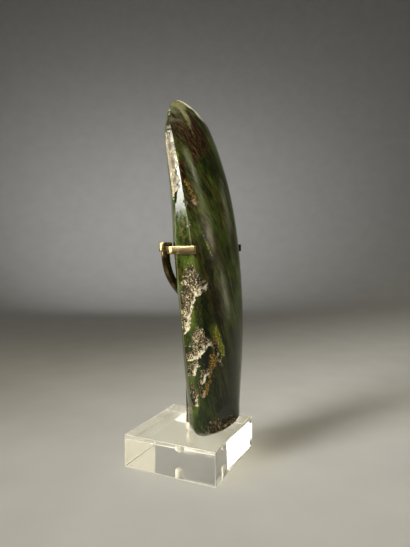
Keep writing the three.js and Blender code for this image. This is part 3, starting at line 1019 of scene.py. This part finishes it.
def studio():
    """A pale floor that sweeps up all round, and an even sky. A little air under the block lets it mirror
    its own underside, as a real one does."""
    n = Nodes("studio_paper")
    paper = n.noise(n.place(), scale=0.02, detail=2)
    shade = n.ramp(paper, (0.3, (0.45, 0.447, 0.435)), (0.7, (0.48, 0.477, 0.465)))
    material = n.finish(Base_Color=shade, Roughness=0.9)
    sides, steps, flat = STUDIO["sides"], STUDIO["steps"], STUDIO["flat"]
    outline = []
    for t in np.linspace(FIRST_STEP, 1, steps):
        climb = max(0.0, (t - flat) / (1 - flat)) ** STUDIO["power"]
        outline.append((STUDIO["reach"] * t, STUDIO["rise"] * climb - GAP))
    points = [(r * math.cos(a), r * math.sin(a), z) for r, z in outline for a in circle_angles(sides)]
    points.append((0, 0, -GAP))
    faces = []
    for row in range(steps - 1):
        for i in range(sides):
            j = (i + 1) % sides
            faces.append((row * sides + j, row * sides + i, (row + 1) * sides + i, (row + 1) * sides + j))
    faces += [(steps * sides, i, (i + 1) % sides) for i in range(sides)]
    floor = new_object("studio_floor", points, faces, material)

    world = bpy.data.worlds.new("studio_sky")
    world.use_nodes = True
    world.node_tree.nodes["Background"].inputs["Color"].default_value = SKY["colour"]
    world.node_tree.nodes["Background"].inputs["Strength"].default_value = SKY["strength"]
    SCENE.world = world


def soft_box(name, at, width, height, watts, aim=AIM, roll=0.0, spread=40.0, tint=CLEAR, mirrored=True):
    """A rectangular lamp at a point in metres, turned to face the axe, and rolled by degrees.
    A lamp that isn't mirrored lights the stone without a bright patch on its polish or in the block."""
    lamp = bpy.data.lights.new(name, "AREA")
    lamp.shape = "RECTANGLE"
    lamp.size, lamp.size_y = width, height
    lamp.energy = watts
    lamp.spread = math.radians(spread)
    lamp.color = tint
    thing = bpy.data.objects.new(name, lamp)
    turned_to = (aim - at).to_track_quat("-Z", "Y").to_matrix().to_4x4()
    thing.matrix_world = Matrix.Translation(at) @ turned_to @ Matrix.Rotation(math.radians(roll), 4, "Z")
    thing.visible_camera = False
    thing.visible_glossy = mirrored
    thing.visible_transmission = mirrored
    SCENE.collection.objects.link(thing)


def from_axe(azimuth, elevation, distance):
    """A point seen from the middle of the axe. Azimuth 0 is along +X and 90 along +Y."""
    a, e = math.radians(azimuth), math.radians(elevation)
    return Vector((math.cos(a) * math.cos(e), math.sin(a) * math.cos(e), math.sin(e))) * distance + AIM


def lights():
    """Strips draw the sheens on the front. Boxes light the narrow side, the rim and the block."""
    soft_box("high_strip", from_axe(-99, 36, 1.2), 0.05, 0.55, 0.05, tint=WARM)
    soft_box("middle_strip", from_axe(-94, 17, 1.2), 0.06, 0.3, 0.045, roll=40, tint=WARM)
    soft_box("low_strip", from_axe(-69, -1, 1.2), 0.75, 0.05, 0.05, roll=-30, tint=WARM)
    soft_box("left_box", from_axe(151, 24, 1.1), 0.4, 0.5, 1.1, aim=AIM_HIGH, spread=36)
    soft_box("shoulder_box", from_axe(151, 50, 1.1), 0.3, 0.3, 0.16, aim=AIM_SHOULDER, spread=36)
    soft_box("rim_box", from_axe(114, 6, 1.2), 0.8, 0.36, 1.1, tint=WARM)
    soft_box("glow_box", from_axe(20, 36, 1.3), 0.8, 0.25, 0.05, tint=WARM)
    soft_box("block_box", from_axe(-34, 18, 1.4), 0.34, 0.3, 0.2, spread=180, tint=CREAM)
    soft_box("front_fill", from_axe(-138, 18, 1.5), 0.9, 0.9, 0.45, spread=60, tint=SOFT, mirrored=False)
    soft_box("right_fill", from_axe(-45, 20, 1.4), 0.9, 0.7, 2.0, spread=180, tint=WARM, mirrored=False)
    soft_box("top_box", from_axe(0, 88, 1.6), 1.0, 1.0, 1.6, spread=140, tint=SOFT)
    soft_box("back_box", Vector((0.35, 0.45, 0.5)), 0.5, 0.3, 3.4, aim=AIM_PAST_AXE, spread=110,
             tint=(1, 1, 1))


def photo_camera():
    """Stands to the front left of the axe and looks a little down."""
    data = bpy.data.cameras.new("camera")
    data.lens = CAMERA["lens"]
    data.sensor_width = 36.0
    data.clip_start = 0.01
    camera = bpy.data.objects.new("camera", data)
    place = Matrix.Translation(CAMERA["place"])
    pan = Matrix.Rotation(math.radians(CAMERA["pan"]), 4, "Z")
    tip = Matrix.Rotation(math.radians(90 - CAMERA["dip"]), 4, "X")
    roll = Matrix.Rotation(math.radians(CAMERA["roll"]), 4, "Z")
    camera.matrix_world = place @ pan @ tip @ roll
    SCENE.collection.objects.link(camera)
    SCENE.camera = camera


photo_camera()
axe_piece()
block_piece()
rod_piece()
collar_piece()
near_arm_piece()
far_arm_piece()
studio()
lights()

SCENE.view_settings.view_transform = "Standard"
SCENE.cycles.use_denoising = True
